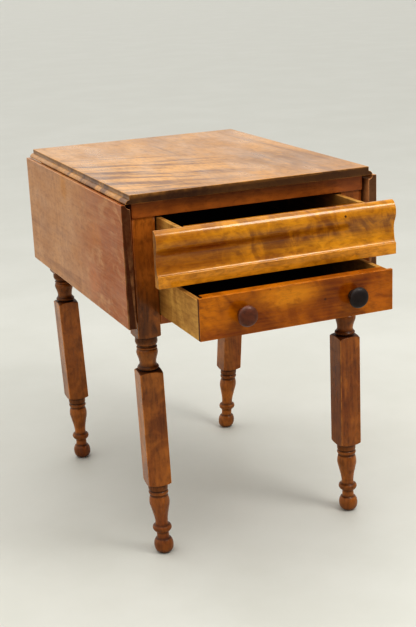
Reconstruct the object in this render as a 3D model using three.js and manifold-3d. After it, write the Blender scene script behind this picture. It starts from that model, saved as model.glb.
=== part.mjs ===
// A drop-leaf sewing table: a case on four turned legs, two drawers, two hinged leaves.
// Millimetres, +Z up, front towards -Y. The table stands as it is kept here: leaves hanging,
// both drawers part open. The origin is on the floor, in the middle of the footprint.
import * as THREE from 'three';
import { mergeVertices } from 'three/addons/utils/BufferGeometryUtils.js';
import Module from 'manifold-3d';

const wasm = await Module();
wasm.setup();

// ---- driving dimensions -------------------------------------------------------------------
const GAP = 0.3; // left between pieces that touch

// top board and leaves
const TOP_Z = 730; // height of the table
const TOP_THICK = 17;
const TOP_HALF = 246; // to the fillet of the rule joint
const TOP_DEPTH = 646;
const RULE_RADIUS = 8.3; // quarter round on the top board's edge
const RULE_GAP = 0.6; // running clearance of the cove on it
const LEAF_LENGTH = 233; // from the hinge line to the leaf's free edge
const UNDER_TOP = TOP_Z - TOP_THICK; // also the height of the hinge line

// case
const CASE_HALF = 239;
const POST = 45.5; // square section of the leg's timber
const FRONT_Y = -306; // front faces of the front posts, from the middle of the top
const BACK_Y = 290; // back faces of the back posts
const POST_FOOT_Z = 453; // where the square post ends
const CASE_FOOT_Z = 476;
const PANEL = 20; // side panels
const BACK_PANEL = 18;
const BACK_SET_IN = 8;
const RAIL_PROUD = 3.5; // the top rail stands in front of the posts
const TOP_RAIL_Z = 683;
const BOTTOM_RAIL = 18;
const DIVIDER_Z = 574;
const DIVIDER = 18;
const RUNNER_WIDTH = 46;
const GUIDE_HEIGHT = 16;
const KICKER = 18;

// legs
const TURNED_SIDES = 16;
const BLOCK_TOP_Z = 385;
const BLOCK_FOOT_Z = 149;
// how far each leg's axis stands out of line with its post: sideways at the floor, at the
// block's foot and at its top, then backwards at the floor
const LEAN = {
  front_left: { sideways: [11, 5, 1], back: -6 },
  front_right: { sideways: [-6, -8, -5.6], back: -13 },
  back_left: { sideways: [9, 7, 2], back: -22 },
  back_right: { sideways: [-45, -30, -8], back: -15 },
};

// drawers
const UPPER_OPEN = 110; // how far each drawer stands open
const LOWER_OPEN = 191.6;
const BOX_DEPTH = 555;
const BOX_WALL = 10;
const BOX_BOTTOM = 6.5;
const GROOVE = 5; // depth of the grooves that hold the drawer bottoms
const BOTTOM_RAISE = 7; // drawer bottom above the lower edge of its sides
const UPPER_BOX_HALF = 190;
const UPPER_BOX_Z = [592.6, 680];
const OGEE_HALF = 240;
const OGEE_Z = [580.2, 682.3];
const OGEE_THICK = 16.5; // the part that overlaps the posts
const OGEE_INNER = 7.5; // the thicker middle that enters the opening
const LOWER_FRONT_HALF = 192.5;
const LOWER_FRONT_Z = [495.1, 571.6];
const LOWER_FRONT = 26;
const LOWER_LAP = 7; // front left in front of the sides
const LOWER_BOX_Z = [494.6, 568];
const KNOB_X = 110;
const KNOB_Z = 534;

// iron hinges and swing-out brackets
const HINGE_Y = 200;
const HINGE_LONG = 64;
const HINGE_PLATE = 2;
const HINGE_REACH = 26.5;
const LEAF_PLATE_DROP = 41;
const BARREL_RADIUS = 3.1;
const HINGE_PIN_RADIUS = 1.3;
const MIDDLE_KNUCKLE = 28;
const BRACKET_LONG = 209;
const BRACKET_HIGH = 38.7;
const BRACKET_THICK = 19;
const BRACKET_PIN_RADIUS = 3;
const NOTCH = [210, 40]; // length and depth of the notch it lies in
const BACKING = [280, 52, 19.7]; // strip behind the notch: length, height, thickness

const POST_X = CASE_HALF - POST / 2;
const PANEL_INNER = CASE_HALF - PANEL;
const POST_INNER = CASE_HALF - POST;
const FRONT_INNER_Y = FRONT_Y + POST;
const BACK_INNER_Y = BACK_Y - POST;
const BACK_PANEL_Y = BACK_Y - BACK_SET_IN - BACK_PANEL;

// ---- finishes -----------------------------------------------------------------------------
const finish = (color, roughness, metalness = 0) =>
  new THREE.MeshStandardMaterial({ color, roughness, metalness });
const FINISH = {
  top: () => finish(0xb9783f, 0.35),
  leaf: () => finish(0x9a5f35, 0.4),
  leg: () => finish(0x7a3a1c, 0.4),
  case: () => finish(0x8a4a22, 0.4),
  front: () => finish(0xb5711e, 0.3),
  inner: () => finish(0xa98a55, 0.7),
  knob: () => finish(0x3c1f18, 0.35),
  iron: () => finish(0x35302c, 0.6, 0.8),
};

// ---- shape helpers ------------------------------------------------------------------------
function toSolid(geometry) {
  const bare = geometry.clone();
  bare.deleteAttribute('normal');
  bare.deleteAttribute('uv');
  const merged = mergeVertices(bare, 1e-4);
  return new wasm.Manifold(new wasm.Mesh({
    numProp: 3,
    vertProperties: new Float32Array(merged.attributes.position.array),
    triVerts: new Uint32Array(merged.index.array),
  }));
}

function toGeometry(solid) {
  const mesh = solid.getMesh();
  const geometry = new THREE.BufferGeometry();
  geometry.setAttribute('position', new THREE.BufferAttribute(mesh.vertProperties, 3));
  geometry.setIndex(new THREE.BufferAttribute(mesh.triVerts, 1));
  return geometry;
}

const cut = (base, ...tools) =>
  toGeometry(tools.reduce((left, tool) => left.subtract(toSolid(tool)), toSolid(base)));
const join = (...pieces) =>
  toGeometry(pieces.map(toSolid).reduce((whole, piece) => whole.add(piece)));
const common = (a, b) => toGeometry(toSolid(a).intersect(toSolid(b)));

// a box from its lowest and highest x, y and z
function box([x0, x1], [y0, y1], [z0, z1]) {
  const [lowX, highX] = [Math.min(x0, x1), Math.max(x0, x1)];
  const geometry = new THREE.BoxGeometry(highX - lowX, y1 - y0, z1 - z0);
  return geometry.translate((lowX + highX) / 2, (y0 + y1) / 2, (z0 + z1) / 2);
}

const shapeOf = (points) => new THREE.Shape(points.map(([a, b]) => new THREE.Vector2(a, b)));
const alongX = new THREE.Matrix4().makeBasis(
  new THREE.Vector3(0, 1, 0), new THREE.Vector3(0, 0, 1), new THREE.Vector3(1, 0, 0));
const alongY = new THREE.Matrix4().makeBasis(
  new THREE.Vector3(1, 0, 0), new THREE.Vector3(0, 0, 1), new THREE.Vector3(0, -1, 0));

// an outline swept straight: (y, z) along X, (x, z) along Y, or (x, y) along Z
function extrude(shape, depth, curveSegments = 6) {
  return new THREE.ExtrudeGeometry(shape, { depth, curveSegments, bevelEnabled: false });
}
const sweepX = (shape, x0, x1, steps) =>
  extrude(shape, x1 - x0, steps).applyMatrix4(alongX).translate(x0, 0, 0);
const sweepY = (shape, y0, y1, steps) =>
  extrude(shape, y1 - y0, steps).applyMatrix4(alongY).translate(0, y1, 0);
const sweepZ = (shape, z0, z1, steps) => extrude(shape, z1 - z0, steps).translate(0, 0, z0);

// a profile of [radius, height] points, lowest first, turned about Z
function turned(profile, sides = TURNED_SIDES) {
  const points = profile.map(([radius, height]) => new THREE.Vector2(radius, height));
  return new THREE.LatheGeometry(points, sides).rotateX(Math.PI / 2);
}

// a smooth stretch of a profile through the points given
function smooth(points, steps) {
  const curve = new THREE.SplineCurve(points.map(([a, b]) => new THREE.Vector2(a, b)));
  return curve.getPoints(steps).map((point) => [point.x, point.y]);
}

function rodY(radius, x, z, y0, y1, sides = 12) {
  return new THREE.CylinderGeometry(radius, radius, y1 - y0, sides).translate(x, (y0 + y1) / 2, z);
}

function rodZ(radius, x, y, z0, z1, sides = 12) {
  const rod = new THREE.CylinderGeometry(radius, radius, z1 - z0, sides);
  return rod.rotateX(Math.PI / 2).translate(x, y, (z0 + z1) / 2);
}

// ---- top board and leaves -----------------------------------------------------------------
function hingeSlot(side, y) {
  const clear = BARREL_RADIUS + 0.6;
  return box(
    [side * (TOP_HALF - clear), side * (TOP_HALF + clear)],
    [y - HINGE_LONG / 2 - 1, y + HINGE_LONG / 2 + 1],
    [UNDER_TOP - 1, UNDER_TOP + clear],
  );
}

function topBoard() {
  const outline = new THREE.Shape();
  outline.moveTo(-TOP_HALF, TOP_Z);
  outline.lineTo(-TOP_HALF, UNDER_TOP + RULE_RADIUS);
  outline.absarc(-TOP_HALF, UNDER_TOP, RULE_RADIUS, Math.PI / 2, Math.PI, false);
  outline.lineTo(TOP_HALF + RULE_RADIUS, UNDER_TOP);
  outline.absarc(TOP_HALF, UNDER_TOP, RULE_RADIUS, 0, Math.PI / 2, false);
  outline.lineTo(TOP_HALF, TOP_Z);
  const board = sweepY(outline, -TOP_DEPTH / 2, TOP_DEPTH / 2, 8);
  const slots = [-1, 1].flatMap((side) => [-HINGE_Y, HINGE_Y].map((y) => hingeSlot(side, y)));
  return cut(board, ...slots);
}

function leaf(side) {
  const cove = RULE_RADIUS + RULE_GAP;
  const start = Math.asin(RULE_GAP / cove);
  const arc = Array.from({ length: 9 }, (_, step) => {
    const angle = start + (Math.PI / 2 - start) * (step / 8);
    return [TOP_HALF + cove * Math.cos(angle), UNDER_TOP - cove * Math.sin(angle)];
  });
  const freeEdge = UNDER_TOP - LEAF_LENGTH;
  const soft = 1.5;
  const outer = TOP_HALF + TOP_THICK;
  const outline = [
    [outer, UNDER_TOP - RULE_GAP],
    ...arc,
    [TOP_HALF, freeEdge + soft],
    [TOP_HALF + soft, freeEdge],
    [outer - soft, freeEdge],
    [outer, freeEdge + soft],
  ];
  const shape = shapeOf(outline.map(([x, z]) => [side * x, z]));
  return sweepY(shape, -TOP_DEPTH / 2, TOP_DEPTH / 2);
}

// ---- legs ---------------------------------------------------------------------------------
// Collar, thin bead, vase, neck and ring between the post and the block.
const UPPER_TURNING = [
  [0, BLOCK_TOP_Z - 3],
  [17, BLOCK_TOP_Z - 3],
  [17.2, 386.3],
  ...smooth([[19, 387], [20.4, 390], [19, 393]], 3),
  ...smooth([[16, 399], [17.4, 408], [20.5, 419], [18.2, 426.5]], 6),
  [19.6, 429.5],
  [17.2, 433],
  ...smooth([[20, 437], [21.2, 444], [20.6, 451]], 2),
  [20.6, POST_FOOT_Z + 2],
  [0, POST_FOOT_Z + 2],
];

// Ball foot, neck, ring, long vase, groove and collar under the block.
const LOWER_TURNING = [
  [0, 0],
  [8, 0],
  ...smooth([[13, 2], [17.4, 8.5], [19, 18], [17.9, 25.5], [15, 31.5]], 6),
  [12.3, 33.5],
  [11.9, 41],
  ...smooth([[13.2, 46.5], [18.8, 53.5], [13.6, 60.5]], 4),
  ...smooth([[12.6, 68], [14.8, 85], [20, 108], [18.4, 122]], 7),
  [16.8, 126],
  ...smooth([[19, 129], [19.6, 137], [18.2, 144]], 3),
  [18, BLOCK_FOOT_Z + 3],
  [0, BLOCK_FOOT_Z + 3],
];

// What the lathe leaves of the square block: its corners slope away at both ends.
const BLOCK_SHOULDERS = [
  [0, BLOCK_FOOT_Z],
  [18.8, BLOCK_FOOT_Z],
  [26, BLOCK_FOOT_Z + 1.8],
  [33, BLOCK_FOOT_Z + 5.2],
  [33, BLOCK_TOP_Z - 6.4],
  [26, BLOCK_TOP_Z - 2.4],
  [18, BLOCK_TOP_Z],
  [0, BLOCK_TOP_Z],
];

function square(half, z0, z1) {
  return box([-half, half], [-half, half], [z0, z1]);
}

// How far a leg's axis has gone sideways at a height, straight between the given heights.
function sidewaysAt(z, [floor, blockFoot, blockTop]) {
  if (z > POST_FOOT_Z) return 0;
  if (z > BLOCK_TOP_Z) {
    return (blockTop * (POST_FOOT_Z - z)) / (POST_FOOT_Z - BLOCK_TOP_Z);
  }
  if (z > BLOCK_FOOT_Z) {
    const share = (BLOCK_TOP_Z - z) / (BLOCK_TOP_Z - BLOCK_FOOT_Z);
    return blockTop + (blockFoot - blockTop) * share;
  }
  return blockFoot + ((floor - blockFoot) * (BLOCK_FOOT_Z - z)) / BLOCK_FOOT_Z;
}

// The square post, turnings and block on one axis, then the lean below the post.
function leg(sideX, sideY, postTop, lean) {
  const post = square(POST / 2, POST_FOOT_Z, postTop);
  const block = common(square(POST / 2, BLOCK_FOOT_Z, BLOCK_TOP_Z), turned(BLOCK_SHOULDERS, 24));
  const shape = join(post, turned(UPPER_TURNING), block, turned(LOWER_TURNING));
  const centreY = sideY < 0 ? FRONT_Y + POST / 2 : BACK_Y - POST / 2;
  const position = shape.attributes.position;
  for (let i = 0; i < position.count; i += 1) {
    const z = position.getZ(i);
    const below = Math.max(0, POST_FOOT_Z - z) / POST_FOOT_Z;
    position.setX(i, position.getX(i) + sideX * POST_X + sidewaysAt(z, lean.sideways));
    position.setY(i, position.getY(i) + centreY + lean.back * below);
  }
  return shape;
}

// ---- case ---------------------------------------------------------------------------------
const BRACKET_PIN_Y = BRACKET_LONG / 2 - BRACKET_THICK / 2;
const BRACKET_PIN_X = CASE_HALF - PANEL / 2;
const BRACKET_Z = UNDER_TOP - NOTCH[1] + GAP;
const BRACKET_PIN_FOOT = UNDER_TOP - NOTCH[1] - 33;

// A side panel with a notch for the bracket and two shallow ones for the hinge plates.
function sidePanel(side) {
  const top = UNDER_TOP - GAP;
  const hingeHalf = HINGE_LONG / 2 + 1;
  const shallow = UNDER_TOP - GAP - HINGE_PLATE - GAP;
  const deep = UNDER_TOP - NOTCH[1];
  const outline = [
    [FRONT_INNER_Y + GAP, CASE_FOOT_Z],
    [BACK_INNER_Y - GAP, CASE_FOOT_Z],
    [BACK_INNER_Y - GAP, top],
    [HINGE_Y + hingeHalf, top],
    [HINGE_Y + hingeHalf, shallow],
    [HINGE_Y - hingeHalf, shallow],
    [HINGE_Y - hingeHalf, top],
    [NOTCH[0] / 2, top],
    [NOTCH[0] / 2, deep],
    [-NOTCH[0] / 2, deep],
    [-NOTCH[0] / 2, top],
    [hingeHalf - HINGE_Y, top],
    [hingeHalf - HINGE_Y, shallow],
    [-hingeHalf - HINGE_Y, shallow],
    [-hingeHalf - HINGE_Y, top],
    [FRONT_INNER_Y + GAP, top],
  ];
  const [x0, x1] = side < 0 ? [-CASE_HALF, -PANEL_INNER] : [PANEL_INNER, CASE_HALF];
  const hole = rodZ(BRACKET_PIN_RADIUS + GAP, side * BRACKET_PIN_X, BRACKET_PIN_Y,
    BRACKET_PIN_FOOT - GAP, UNDER_TOP);
  return cut(sweepX(shapeOf(outline), x0, x1), hole);
}

// The swing-out bracket: round at its pin, sloped under its free end.
function bracket(side) {
  const half = BRACKET_THICK / 2;
  const outline = new THREE.Shape();
  outline.moveTo(-half, BRACKET_PIN_Y);
  outline.lineTo(-half, -BRACKET_LONG / 2);
  outline.lineTo(half, -BRACKET_LONG / 2);
  outline.lineTo(half, BRACKET_PIN_Y);
  outline.absarc(0, BRACKET_PIN_Y, half, 0, Math.PI, false);
  const bar = sweepZ(outline, BRACKET_Z, BRACKET_Z + BRACKET_HIGH, 6);
  const slope = shapeOf([
    [-BRACKET_LONG / 2 - 1, BRACKET_Z - 1],
    [-BRACKET_LONG / 2 + 60, BRACKET_Z - 1],
    [-BRACKET_LONG / 2 - 1, BRACKET_Z + BRACKET_HIGH * 0.55],
  ]);
  const wedge = sweepX(slope, -half - 1, half + 1);
  const hole = rodZ(BRACKET_PIN_RADIUS + GAP, 0, BRACKET_PIN_Y, BRACKET_Z - 1, UNDER_TOP);
  return cut(bar, wedge, hole).translate(side * BRACKET_PIN_X, 0, 0);
}

// ---- hinges -------------------------------------------------------------------------------
// One knuckle of the barrel with the pin's hole through it.
function knuckle(x, y0, y1) {
  const barrel = new THREE.Shape().absarc(x, UNDER_TOP, BARREL_RADIUS, 0, 2 * Math.PI, false);
  barrel.holes.push(
    new THREE.Path().absarc(x, UNDER_TOP, HINGE_PIN_RADIUS + GAP, 0, 2 * Math.PI, true));
  return sweepY(barrel, y0, y1, 10);
}

function topHingePlate(side, y) {
  const x = side * TOP_HALF;
  const half = HINGE_LONG / 2;
  const clear = MIDDLE_KNUCKLE / 2 + GAP;
  const edge = x - side * (HINGE_PIN_RADIUS + GAP + 0.3);
  const back = x - side * (BARREL_RADIUS + 0.5);
  const outline = [
    [x - side * HINGE_REACH, y - half],
    [edge, y - half],
    [edge, y - clear],
    [back, y - clear],
    [back, y + clear],
    [edge, y + clear],
    [edge, y + half],
    [x - side * HINGE_REACH, y + half],
  ];
  const plate = sweepZ(shapeOf(outline), UNDER_TOP - GAP - HINGE_PLATE, UNDER_TOP - GAP);
  return join(plate, knuckle(x, y - half, y - clear), knuckle(x, y + clear, y + half));
}

function leafHingePlate(side, y) {
  const x = side * TOP_HALF;
  const half = HINGE_LONG / 2;
  const middle = MIDDLE_KNUCKLE / 2 - GAP;
  const upper = UNDER_TOP - HINGE_PIN_RADIUS - GAP - 0.3;
  const lower = UNDER_TOP - BARREL_RADIUS - 0.5;
  const foot = UNDER_TOP - LEAF_PLATE_DROP;
  const outline = [
    [y - half, foot],
    [y + half, foot],
    [y + half, lower],
    [y + middle, lower],
    [y + middle, upper],
    [y - middle, upper],
    [y - middle, lower],
    [y - half, lower],
  ];
  const inner = x - side * (HINGE_PLATE + GAP);
  const outer = x - side * GAP;
  const plate = sweepX(shapeOf(outline), Math.min(inner, outer), Math.max(inner, outer));
  return join(plate, knuckle(x, y - middle, y + middle));
}

// ---- drawers ------------------------------------------------------------------------------
const bottomPanel = (half, y0, y1, sideFoot, grow = 0) => box(
  [-half + BOX_WALL - GROOVE - grow, half - BOX_WALL + GROOVE + grow],
  [y0 - GROOVE - grow, y1],
  [sideFoot + BOTTOM_RAISE - grow, sideFoot + BOTTOM_RAISE + BOX_BOTTOM + grow],
);

// Sides, back and bottom of a drawer; frontInner is the inner face of its front.
function drawerBox(half, sideStart, frontInner, backEnd, [foot, head]) {
  const groove = bottomPanel(half, frontInner, backEnd + 1, foot, GAP);
  const wall = (side) => cut(
    box([side * (half - BOX_WALL), side * half], [sideStart, backEnd], [foot, head]),
    groove,
  );
  const inner = half - BOX_WALL - GAP;
  const backFoot = foot + BOTTOM_RAISE + BOX_BOTTOM + GAP;
  return {
    groove,
    side_left: wall(-1),
    side_right: wall(1),
    back: box([-inner, inner], [backEnd - BOX_WALL, backEnd], [backFoot, head - 4]),
    bottom: bottomPanel(half, frontInner, backEnd, foot),
  };
}

// The ogee moulding: rounded top, swelling, hollow, sharp arris, flat band.
function ogeeShape(backY) {
  const face = backY - OGEE_THICK;
  const [foot, head] = OGEE_Z;
  const swell = { y: face + 0.3, z: head - 22.3 };
  const hollow = { y: face + 8, z: foot + 49 };
  const arris = { y: face, z: foot + 21.5 };
  const shape = new THREE.Shape();
  shape.moveTo(backY, foot);
  shape.lineTo(face, foot);
  shape.lineTo(arris.y, arris.z);
  shape.bezierCurveTo(face + 5, arris.z + 2.5, hollow.y, hollow.z - 14, hollow.y, hollow.z);
  shape.bezierCurveTo(hollow.y, hollow.z + 14, swell.y, swell.z - 12, swell.y, swell.z);
  shape.bezierCurveTo(swell.y, swell.z + 12, backY - 9, head, backY - 1, head);
  shape.lineTo(backY, head);
  return shape;
}

function upperDrawer() {
  const overlapBack = FRONT_Y - UPPER_OPEN;
  const frontInner = overlapBack + OGEE_INNER;
  const backEnd = overlapBack + GAP + BOX_DEPTH;
  const pieces = drawerBox(UPPER_BOX_HALF, overlapBack + GAP, frontInner, backEnd, UPPER_BOX_Z);
  const half = UPPER_BOX_HALF - BOX_WALL - GAP;
  const inner = box([-half, half], [overlapBack - 2, frontInner], [UPPER_BOX_Z[0], OGEE_Z[1]]);
  const moulding = sweepX(ogeeShape(overlapBack), -OGEE_HALF, OGEE_HALF, 7);
  return { ...pieces, front: cut(join(moulding, inner), pieces.groove) };
}

function lowerDrawer() {
  const face = FRONT_Y - LOWER_OPEN;
  const frontInner = face + LOWER_FRONT;
  const backEnd = face + LOWER_LAP + BOX_DEPTH;
  const half = LOWER_FRONT_HALF - GAP;
  const pieces = drawerBox(half, face + LOWER_LAP + GAP, frontInner, backEnd, LOWER_BOX_Z);
  const inner = half - BOX_WALL - GAP;
  const outline = [
    [-LOWER_FRONT_HALF, face],
    [LOWER_FRONT_HALF, face],
    [LOWER_FRONT_HALF, face + LOWER_LAP],
    [inner, face + LOWER_LAP],
    [inner, frontInner],
    [-inner, frontInner],
    [-inner, face + LOWER_LAP],
    [-LOWER_FRONT_HALF, face + LOWER_LAP],
  ];
  const board = sweepZ(shapeOf(outline), ...LOWER_FRONT_Z);
  return { ...pieces, front: cut(board, pieces.groove) };
}

// A mushroom knob turned about its own axis, its foot flat on the drawer front.
const KNOB_PROFILE = [
  [0, 0],
  [11, 0],
  [11, 2.5],
  ...smooth([[8.6, 5], [8.2, 9], [12, 13]], 4),
  ...smooth([[17.5, 15], [19.4, 18], [17.8, 22], [11, 26.5], [0, 28.6]], 7),
];
const KNOB_REACH = KNOB_PROFILE.at(-1)[1];

function knob(x) {
  return turned(KNOB_PROFILE, 20)
    .rotateX(Math.PI / 2)
    .translate(x, FRONT_Y - LOWER_OPEN - GAP, KNOB_Z);
}

// ---- the whole table ----------------------------------------------------------------------
const table = new THREE.Group();
const frontmost = FRONT_Y - LOWER_OPEN - GAP - KNOB_REACH;
table.position.y = -(frontmost + TOP_DEPTH / 2) / 2;

function add(name, geometry, material) {
  const mesh = new THREE.Mesh(geometry, material);
  mesh.name = name;
  table.add(mesh);
}

const SIDES = { left: -1, right: 1 };
const topRailBack = FRONT_INNER_Y - 3;

add('top_board', topBoard(), FINISH.top());
add('leg_front_left', leg(-1, -1, TOP_RAIL_Z - GAP, LEAN.front_left), FINISH.leg());
add('leg_front_right', leg(1, -1, TOP_RAIL_Z - GAP, LEAN.front_right), FINISH.leg());
add('leg_back_left', leg(-1, 1, UNDER_TOP - GAP, LEAN.back_left), FINISH.leg());
add('leg_back_right', leg(1, 1, UNDER_TOP - GAP, LEAN.back_right), FINISH.leg());

const between = POST_INNER - GAP;
add('top_rail', box([-CASE_HALF, CASE_HALF], [FRONT_Y - RAIL_PROUD, topRailBack],
  [TOP_RAIL_Z, UNDER_TOP - GAP]), FINISH.case());
add('drawer_divider', box([-between, between], [FRONT_Y, FRONT_INNER_Y],
  [DIVIDER_Z, DIVIDER_Z + DIVIDER]), FINISH.case());
add('bottom_rail', box([-between, between], [FRONT_Y, FRONT_INNER_Y],
  [CASE_FOOT_Z, CASE_FOOT_Z + BOTTOM_RAIL]), FINISH.case());
add('back_panel', box([-between, between], [BACK_PANEL_Y, BACK_PANEL_Y + BACK_PANEL],
  [CASE_FOOT_Z, UNDER_TOP - GAP]), FINISH.case());

for (const [name, side] of Object.entries(SIDES)) {
  const inner = side * (PANEL_INNER - GAP);
  const runnerX = [side * (PANEL_INNER - RUNNER_WIDTH), inner];
  const guideX = [side * (POST_INNER - 1), inner];
  const backingInner = side * (PANEL_INNER - BACKING[2]);
  const alongCase = [FRONT_INNER_Y + GAP, BACK_INNER_Y - GAP];
  const floors = { lower: CASE_FOOT_Z + BOTTOM_RAIL, upper: DIVIDER_Z + DIVIDER };

  add(`leaf_${name}`, leaf(side), FINISH.leaf());
  add(`side_panel_${name}`, sidePanel(side), FINISH.case());
  for (const [level, z] of Object.entries(floors)) {
    add(`${level}_runner_${name}`, box(runnerX, alongCase, [z - BOTTOM_RAIL, z]), FINISH.inner());
    add(`${level}_guide_${name}`, box(guideX, alongCase, [z + GAP, z + GUIDE_HEIGHT]),
      FINISH.inner());
  }
  add(`kicker_${name}`, box([side * (PANEL_INNER - RUNNER_WIDTH), backingInner - side * GAP],
    [topRailBack + GAP, BACK_INNER_Y - GAP], [TOP_RAIL_Z + 1, TOP_RAIL_Z + 1 + KICKER]),
  FINISH.inner());
  add(`bracket_backing_${name}`, box([backingInner, inner], [-BACKING[0] / 2, BACKING[0] / 2],
    [UNDER_TOP - GAP - BACKING[1], UNDER_TOP - GAP]), FINISH.inner());
  add(`leaf_bracket_${name}`, bracket(side), FINISH.case());
  add(`bracket_pin_${name}`, rodZ(BRACKET_PIN_RADIUS, side * BRACKET_PIN_X, BRACKET_PIN_Y,
    BRACKET_PIN_FOOT, UNDER_TOP - 1), FINISH.iron());

  for (const [end, y] of Object.entries({ front: -HINGE_Y, back: HINGE_Y })) {
    const half = HINGE_LONG / 2;
    add(`glue_block_${end}_${name}`, box([backingInner, inner], [y - 22, y + 22],
      [UNDER_TOP - GAP - 24, UNDER_TOP - GAP]), FINISH.inner());
    add(`top_hinge_plate_${end}_${name}`, topHingePlate(side, y), FINISH.iron());
    add(`leaf_hinge_plate_${end}_${name}`, leafHingePlate(side, y), FINISH.iron());
    add(`hinge_pin_${end}_${name}`, rodY(HINGE_PIN_RADIUS, side * TOP_HALF, UNDER_TOP,
      y - half, y + half), FINISH.iron());
  }
}

for (const [level, pieces] of Object.entries({ upper: upperDrawer(), lower: lowerDrawer() })) {
  add(`${level}_drawer_front`, pieces.front, FINISH.front());
  add(`${level}_drawer_side_left`, pieces.side_left, FINISH.inner());
  add(`${level}_drawer_side_right`, pieces.side_right, FINISH.inner());
  add(`${level}_drawer_back`, pieces.back, FINISH.inner());
  add(`${level}_drawer_bottom`, pieces.bottom, FINISH.inner());
}
add('knob_left', knob(-KNOB_X), FINISH.knob());
add('knob_right', knob(KNOB_X), FINISH.knob());

export default table;
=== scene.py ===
"""Looks of a drop-leaf sewing table with two drawers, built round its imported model.

Boards are outlines carried straight along one axis with softened edges. Legs and knobs are
surfaces of angle and height. Every finish is a wood or iron worked out from position.
Lengths are metres; outlines and turning profiles are written in millimetres and scaled by MM.
"""

import math

import bmesh
import bpy
import numpy as np
from mathutils import Matrix, Vector


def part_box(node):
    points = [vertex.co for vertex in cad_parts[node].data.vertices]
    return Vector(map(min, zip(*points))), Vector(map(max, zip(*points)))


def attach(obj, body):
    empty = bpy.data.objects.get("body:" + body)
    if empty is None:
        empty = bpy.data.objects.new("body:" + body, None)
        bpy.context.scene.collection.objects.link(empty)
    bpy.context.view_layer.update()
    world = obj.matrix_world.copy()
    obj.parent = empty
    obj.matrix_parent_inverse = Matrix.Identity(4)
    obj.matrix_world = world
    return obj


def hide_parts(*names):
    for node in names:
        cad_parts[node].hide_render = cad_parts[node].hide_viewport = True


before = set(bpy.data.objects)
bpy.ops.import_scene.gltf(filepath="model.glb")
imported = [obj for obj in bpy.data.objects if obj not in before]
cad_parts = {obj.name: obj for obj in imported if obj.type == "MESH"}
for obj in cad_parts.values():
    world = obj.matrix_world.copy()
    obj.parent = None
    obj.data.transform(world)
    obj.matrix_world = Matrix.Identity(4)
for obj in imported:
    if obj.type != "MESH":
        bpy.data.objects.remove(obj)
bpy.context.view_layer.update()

MM = 0.001
GAP = 0.3 * MM  # left between pieces that touch
X, Y, Z = 0, 1, 2
SIDES = {"left": -1, "right": 1}
ENDS = ("front", "back")

# ---- camera -----------------------------------------------------------------------------------
CAMERA_PLACE = Vector((-0.9294, -2.2070, 1.1339))
CAMERA_YAW, CAMERA_PITCH, CAMERA_ROLL = 0.394, 0.292, -0.043
CAMERA_LENS = 68.41
WORLD_BRIGHTEST = (-0.36, 0.6, 0.7)  # the direction the surroundings are brightest in
WORLD_SPREAD = (-0.8, 0.9, 0.25, 0.98)  # facing away and towards, then the strength at each

TABLE_MIDDLE = (0, 0, 0.5)
WARM_WHITE = (1, 0.985, 0.96)
# (name, place, side of the square, watts, colour)
LIGHTS = [
    ("overhead", (-0.1, -0.7, 3.1), 2.8, 19, WARM_WHITE),
    ("key", (1.1, -1.5, 2.5), 0.85, 17, WARM_WHITE),
    ("front_right", (2.4, -2.4, 2.4), 1.4, 6, (1, 0.98, 0.95)),
]
FLOOR_REACH = 60.0  # far enough that the floor's edge stays out of the main view


def add_camera():
    """A camera that looks slightly down on the table's front left corner."""
    level = math.cos(CAMERA_PITCH)
    ahead = Vector((
        math.sin(CAMERA_YAW) * level, math.cos(CAMERA_YAW) * level, -math.sin(CAMERA_PITCH)))
    side = Vector((math.cos(CAMERA_YAW), -math.sin(CAMERA_YAW), 0))
    head = side.cross(ahead)
    right = side * math.cos(CAMERA_ROLL) + head * math.sin(CAMERA_ROLL)
    up = head * math.cos(CAMERA_ROLL) - side * math.sin(CAMERA_ROLL)
    camera = bpy.data.objects.new("camera", bpy.data.cameras.new("camera"))
    camera.data.lens = CAMERA_LENS
    camera.data.sensor_width = 36
    camera.matrix_world = Matrix.Translation(CAMERA_PLACE) @ Matrix(
        (right, up, -ahead)).transposed().to_4x4()
    bpy.context.scene.collection.objects.link(camera)
    bpy.context.scene.camera = camera


def add_light(name, place, size, power, colour):
    """A square soft light that faces the middle of the table."""
    data = bpy.data.lights.new(name, "AREA")
    data.size = size
    data.energy = power
    data.color = colour
    light = bpy.data.objects.new(name, data)
    light.location = place
    facing = Vector(TABLE_MIDDLE) - Vector(place)
    light.rotation_euler = facing.to_track_quat("-Z", "Y").to_euler()
    bpy.context.scene.collection.objects.link(light)


def add_studio():
    """Pale surroundings, brightest above and behind the table, three soft lights and the floor."""
    world = bpy.data.worlds.new("studio")
    world.use_nodes = True
    tree = world.node_tree
    direction = tree.nodes.new("ShaderNodeTexCoord")
    towards = tree.nodes.new("ShaderNodeVectorMath")
    towards.operation = "DOT_PRODUCT"
    towards.inputs[1].default_value = WORLD_BRIGHTEST
    tree.links.new(direction.outputs["Generated"], towards.inputs[0])
    spread = tree.nodes.new("ShaderNodeMapRange")
    tree.links.new(towards.outputs["Value"], spread.inputs["Value"])
    for socket, number in zip(("From Min", "From Max", "To Min", "To Max"), WORLD_SPREAD):
        spread.inputs[socket].default_value = number
    background = tree.nodes["Background"]
    background.inputs["Color"].default_value = (0.9, 0.885, 0.86, 1)
    tree.links.new(spread.outputs["Result"], background.inputs["Strength"])
    bpy.context.scene.world = world
    bpy.context.scene.view_settings.view_transform = "Standard"
    bpy.context.scene.view_settings.look = "High Contrast"
    for light in LIGHTS:
        add_light(*light)
    reach = FLOOR_REACH
    floor = bpy.data.meshes.new("floor")
    floor.from_pydata(
        [(-reach, -reach, 0), (reach, -reach, 0), (reach, reach, 0), (-reach, reach, 0)],
        [], [(0, 1, 2, 3)])
    floor.materials.append(floor_finish())
    ground = bpy.data.objects.new("floor", floor)
    bpy.context.scene.collection.objects.link(ground)


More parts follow.
